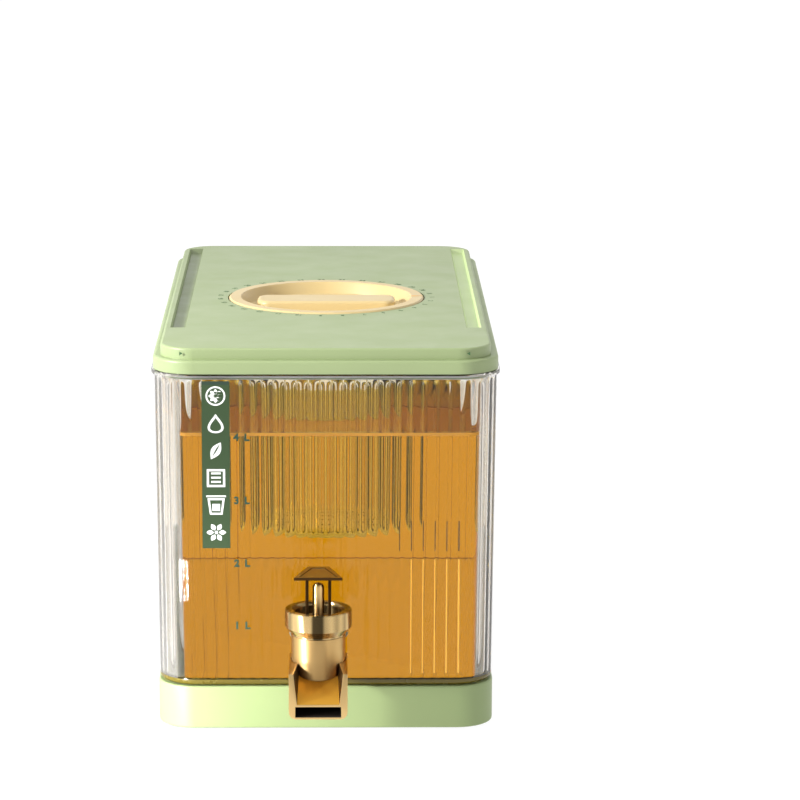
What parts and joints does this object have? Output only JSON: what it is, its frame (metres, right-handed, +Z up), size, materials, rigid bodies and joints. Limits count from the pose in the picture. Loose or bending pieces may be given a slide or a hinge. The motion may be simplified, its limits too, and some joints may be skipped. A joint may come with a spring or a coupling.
{
  "type": "drink dispenser",
  "caption": "Low rectangular clear drink dispenser with a fluted tank on a plinth, two-tier lid, twist cap over an infuser basket, and a lever tap with a square spout.",
  "frame": {"origin": "middle of the whole footprint, spout and tank lip included, on the surface that the feet stand on", "axes": "+Z up, -Y towards the tap side, +X to the right of someone who faces the tap"},
  "size_m": [0.1454, 0.3268, 0.1638],
  "materials": {
    "clear_plastic": "clear, fluted, glossy",
    "pale_green_plastic": "satin moulded plastic",
    "cream_plastic": "satin moulded plastic",
    "gold_plating": "bright gold plating, near mirror",
    "stainless_wire": "drawn wire",
    "silicone": "translucent white silicone",
    "white_plastic": "plain moulded plastic",
    "foot_rubber": "matt rubber"
  },
  "bodies": {
    "jug": {"tank": "clear_plastic", "base": "pale_green_plastic", "foot_front_left": "foot_rubber", "foot_front_right": "foot_rubber", "foot_rear_left": "foot_rubber", "foot_rear_right": "foot_rubber", "tap_body": "gold_plating", "spout": "gold_plating", "tap_bonnet": "gold_plating", "bonnet_o_ring": "silicone", "outer_washer": "silicone", "inner_washer": "silicone", "locknut": "white_plastic", "valve_spring": "stainless_wire"},
    "lid": {"lid": "pale_green_plastic", "lid_gasket": "silicone"},
    "basket": {"basket": "clear_plastic"},
    "cap_seal": {"cap_seal": "silicone"},
    "cap": {"cap": "cream_plastic"},
    "valve": {"valve_stem": "gold_plating", "valve_plug": "silicone", "lever_pin": "stainless_wire"},
    "lever": {"tap_lever": "gold_plating"}
  },
  "joints": [
    {"name": "lid_lift", "type": "slide", "parent": "jug", "child": "lid", "axis": [0, 0, 1], "range_m": [0, 0.12]},
    {"name": "basket_lift", "type": "slide", "parent": "lid", "child": "basket", "axis": [0, 0, 1], "range_m": [0, 0.12]},
    {"name": "cap_lift", "type": "slide", "parent": "basket", "child": "cap_seal", "axis": [0, 0, 1], "range_m": [0, 0.05]},
    {"name": "cap_turn", "type": "hinge", "parent": "cap_seal", "child": "cap", "pos_m": [0, 0.01225, 0.16], "axis": [0, 0, 1], "continuous": true},
    {"name": "stem_lift", "type": "slide", "parent": "jug", "child": "valve", "axis": [0, 0, 1], "range_m": [0, 0.00178], "stiffness_N_per_m": 300, "springref_m": -0.005, "deforming": ["valve_spring"]},
    {"name": "lever_tilt", "type": "hinge", "parent": "valve", "child": "lever", "pos_m": [-0.003, -0.13925, 0.0567], "axis": [1, 0, 0], "range_deg": [0, 34]}
  ],
  "couplings": [
    {"joint": "lever_tilt", "follows": "stem_lift", "rad_per_m": 333.33}
  ]
}
